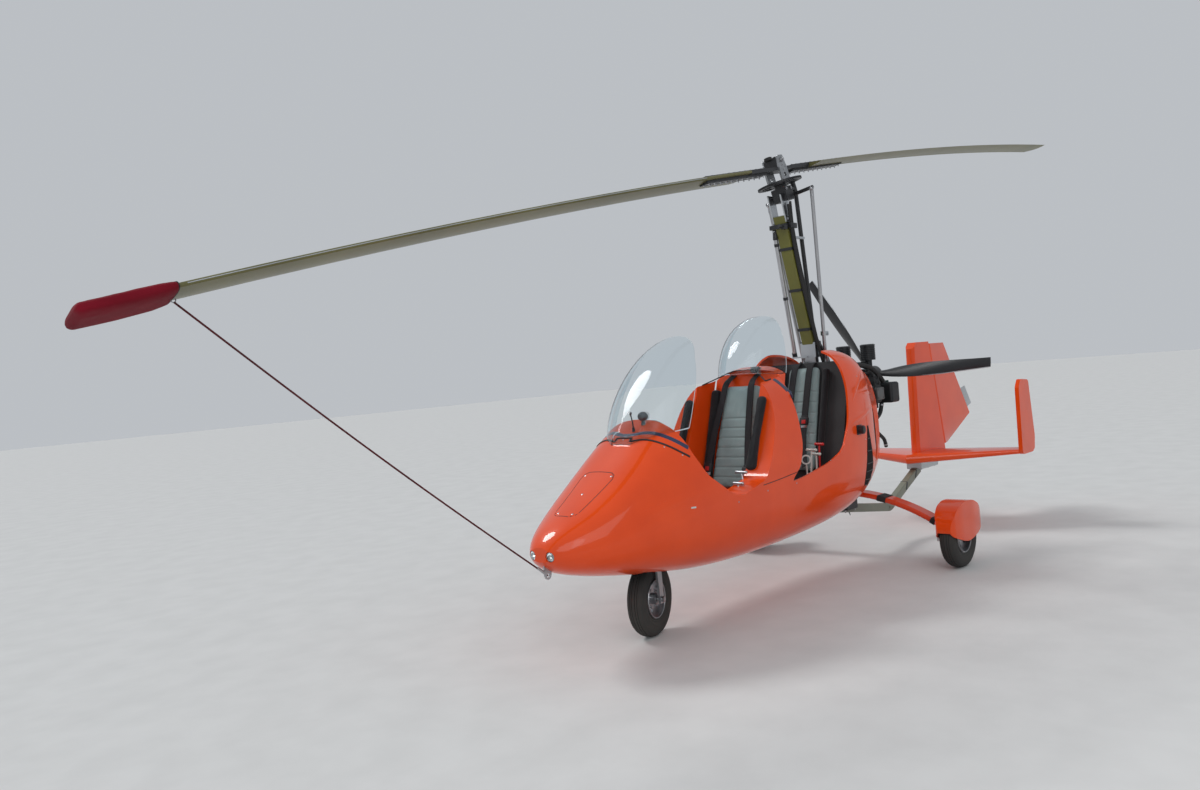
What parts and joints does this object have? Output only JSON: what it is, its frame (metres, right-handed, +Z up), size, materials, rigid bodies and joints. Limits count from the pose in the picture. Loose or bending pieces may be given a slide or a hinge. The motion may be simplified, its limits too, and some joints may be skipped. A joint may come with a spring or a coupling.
{
  "type": "gyrocopter",
  "caption": "Open tandem gyrocopter with a boat-shaped orange hull, a leaning rotor mast, a pusher propeller behind the seats and a tail carried on a low keel tube.",
  "frame": {"origin": "on the ground under the rotor hub, on the middle plane", "axes": "+X to the nose, +Y to the left side, +Z up"},
  "size_m": [8.3099, 1.7266, 3.2425],
  "materials": {
    "hull_paint": "gloss orange paint over composite",
    "gear_paint": "orange paint",
    "dark_metal": "black satin metal",
    "screen": "clear acrylic with a cool tint",
    "lamp": "clear lamp glass",
    "seat_fabric": "grey-green quilted fabric",
    "cabin_plastic": "dark grey lining",
    "panel_plastic": "black panel",
    "grip_plastic": "black grip",
    "black_plastic": "satin black",
    "tyre_rubber": "matt black rubber",
    "wheel_alloy": "silver wheel",
    "steel": "plain steel",
    "fork_alloy": "silver fork",
    "tube_paint": "grey-olive paint",
    "bare_alloy": "plain sheet metal",
    "engine_metal": "dark engine metal",
    "mast_paint": "olive paint",
    "tower_alloy": "grey machined metal",
    "blade_paint": "grey-olive paint",
    "cover_fabric": "dark red cloth"
  },
  "bodies": {
    "airframe": {"cabin_floor": "cabin_plastic", "control_sticks": "grip_plastic", "engine": "engine_metal", "engine_cowl_left": "hull_paint", "engine_cowl_right": "hull_paint", "engine_mount": "dark_metal", "exhaust": "steel", "fin": "hull_paint", "firewall": "bare_alloy", "front_cushions": "seat_fabric", "front_seat_shell": "cabin_plastic", "front_windscreen": "screen", "fuel_cap": "black_plastic", "gear_bow": "gear_paint", "gear_clamp": "dark_metal", "hull_shell": "hull_paint", "instrument_panel": "panel_plastic", "keel_tube": "tube_paint", "levers": "bare_alloy", "main_axle_left": "steel", "main_axle_right": "steel", "mast": "mast_paint", "nose_eye": "steel", "nose_hatch": "hull_paint", "nose_lights": "lamp", "outer_fin_left": "hull_paint", "outer_fin_right": "hull_paint", "pedals": "bare_alloy", "prerotator_shaft": "dark_metal", "push_rods": "steel", "rear_cushions": "seat_fabric", "rear_seat_shell": "cabin_plastic", "rear_windscreen": "screen", "rotor_head": "dark_metal", "spat_left": "hull_paint", "spat_right": "hull_paint", "tail_bracket": "bare_alloy", "tailplane": "hull_paint", "trim_cylinder": "steel", "wheel_well": "cabin_plastic"},
    "rotor": {"rotor_tower": "tower_alloy", "hub_bar": "dark_metal", "rotor_blade_front": "blade_paint", "rotor_blade_rear": "blade_paint", "tip_cover": "cover_fabric"},
    "propeller": {"prop_hub": "dark_metal", "prop_blades": "black_plastic"},
    "nose_fork": {"nose_fork": "fork_alloy"},
    "nose_wheel": {"nose_tyre": "tyre_rubber", "nose_rim": "wheel_alloy"},
    "left_wheel": {"main_tyre_left": "tyre_rubber", "main_rim_left": "wheel_alloy"},
    "right_wheel": {"main_tyre_right": "tyre_rubber", "main_rim_right": "wheel_alloy"},
    "rudder": {"rudder": "hull_paint", "trim_tab": "bare_alloy"}
  },
  "joints": [
    {"name": "rotor_spin", "type": "hinge", "parent": "airframe", "child": "rotor", "pos_m": [0, 0, 2.64], "axis": [0.1672, -0.1439, 0.9754], "continuous": true},
    {"name": "prop_spin", "type": "hinge", "parent": "airframe", "child": "propeller", "pos_m": [-1.085, 0, 1.25], "axis": [1, 0, 0], "continuous": true},
    {"name": "nose_steer", "type": "hinge", "parent": "airframe", "child": "nose_fork", "pos_m": [1.575, 0, 0.44], "axis": [0, 0, 1], "range_deg": [-45, 15]},
    {"name": "nose_wheel_spin", "type": "hinge", "parent": "nose_fork", "child": "nose_wheel", "pos_m": [1.54602, -0.00777, 0.2], "axis": [-0.2588, 0.9659, 0], "continuous": true},
    {"name": "left_wheel_spin", "type": "hinge", "parent": "airframe", "child": "left_wheel", "pos_m": [-0.541, 0.787, 0.2], "axis": [0, 1, 0], "continuous": true},
    {"name": "right_wheel_spin", "type": "hinge", "parent": "airframe", "child": "right_wheel", "pos_m": [-0.541, -0.787, 0.2], "axis": [0, 1, 0], "continuous": true},
    {"name": "rudder_turn", "type": "hinge", "parent": "airframe", "child": "rudder", "pos_m": [-2.2, 0, 0.602], "axis": [0.1939, 0, 0.981], "range_deg": [-28, 28]}
  ]
}
